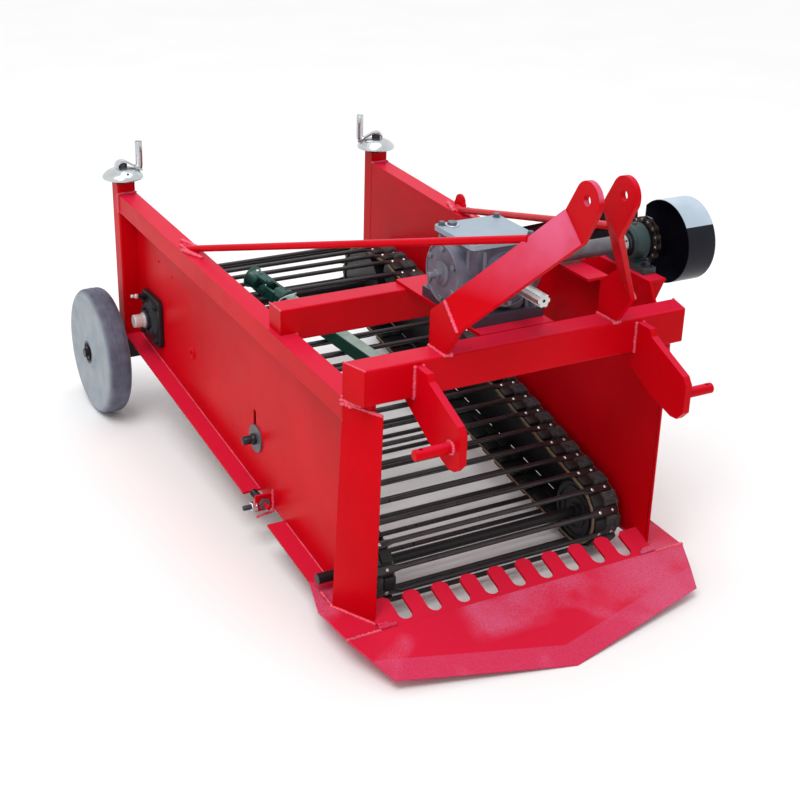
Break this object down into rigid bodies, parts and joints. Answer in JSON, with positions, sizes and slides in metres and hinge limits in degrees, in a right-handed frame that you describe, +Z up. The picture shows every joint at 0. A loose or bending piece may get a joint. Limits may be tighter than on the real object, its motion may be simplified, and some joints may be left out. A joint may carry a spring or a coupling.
{
  "type": "mounted potato harvester",
  "caption": "Tractor-mounted potato digger: share, rod-web conveyor between two side frames, gearbox with side chain drive, three-point hitch and two height-adjustable wheels",
  "frame": {"origin": "centre of the bounding box on the floor", "axes": "+Y to the rear, +X to the side with the chain drive, +Z up"},
  "size_m": [1.28, 2.2249, 1.277],
  "materials": {
    "red_paint": "gloss red enamel over welded steel",
    "black_paint": "black satin enamel",
    "dark_steel": "dark spring steel, wiped with oil",
    "zinc": "bright zinc plate",
    "belt_rubber": "matt black belting",
    "grey_rubber": "matt grey moulded rubber",
    "green_paint": "satin green enamel",
    "grey_casting": "lilac-grey painted casting",
    "bright_steel": "machined steel",
    "bearing_casting": "grey-green painted casting"
  },
  "bodies": {
    "frame": {"brace_left": "red_paint", "brace_right": "red_paint", "carrier_roller": "black_paint", "chain_guard": "black_paint", "drive_bracket": "red_paint", "drive_chain": "dark_steel", "drive_shaft": "black_paint", "flange_bearing_left": "black_paint", "flange_bearing_right": "black_paint", "front_beam": "red_paint", "front_plate_left": "red_paint", "front_plate_right": "red_paint", "front_roller": "black_paint", "front_sprocket": "dark_steel", "gearbox_deck": "red_paint", "gearbox_housing": "grey_casting", "gearbox_lid": "grey_casting", "height_crank_left": "zinc", "height_crank_right": "zinc", "hitch_pin_left": "red_paint", "hitch_pin_right": "red_paint", "hitch_plate_left": "red_paint", "hitch_plate_right": "red_paint", "input_shaft": "bright_steel", "mast_arm_left": "red_paint", "mast_arm_right": "red_paint", "output_shaft": "bright_steel", "pillow_block": "bearing_casting", "power_joint_front": "green_paint", "power_joint_rear": "green_paint", "power_shaft_tube": "green_paint", "rear_beam": "red_paint", "rear_post_left": "red_paint", "rear_post_right": "red_paint", "rear_sprocket": "dark_steel", "rear_tie": "red_paint", "shaft_support": "red_paint", "share_blade": "red_paint", "share_comb": "red_paint", "side_sheet_left": "red_paint", "side_sheet_right": "red_paint", "side_wing_left": "red_paint", "side_wing_right": "red_paint", "top_rail_left": "red_paint", "top_rail_right": "red_paint", "web_belt_left": "belt_rubber", "web_belt_right": "belt_rubber", "web_rods": "dark_steel"},
    "leg_left": {"wheel_leg_left": "black_paint"},
    "leg_right": {"wheel_leg_right": "black_paint"},
    "wheel_left": {"wheel_left": "grey_rubber"},
    "wheel_right": {"wheel_right": "grey_rubber"}
  },
  "joints": [
    {"name": "leg_left_height", "type": "slide", "parent": "frame", "child": "leg_left", "axis": [0, 0, 1], "range_m": [-0.12, 0.025]},
    {"name": "wheel_left_spin", "type": "hinge", "parent": "leg_left", "child": "wheel_left", "pos_m": [-0.5815, 0.897, 0.215], "axis": [1, 0, 0], "continuous": true},
    {"name": "leg_right_height", "type": "slide", "parent": "frame", "child": "leg_right", "axis": [0, 0, 1], "range_m": [-0.12, 0.025]},
    {"name": "wheel_right_spin", "type": "hinge", "parent": "leg_right", "child": "wheel_right", "pos_m": [0.5815, 0.897, 0.215], "axis": [1, 0, 0], "continuous": true}
  ]
}
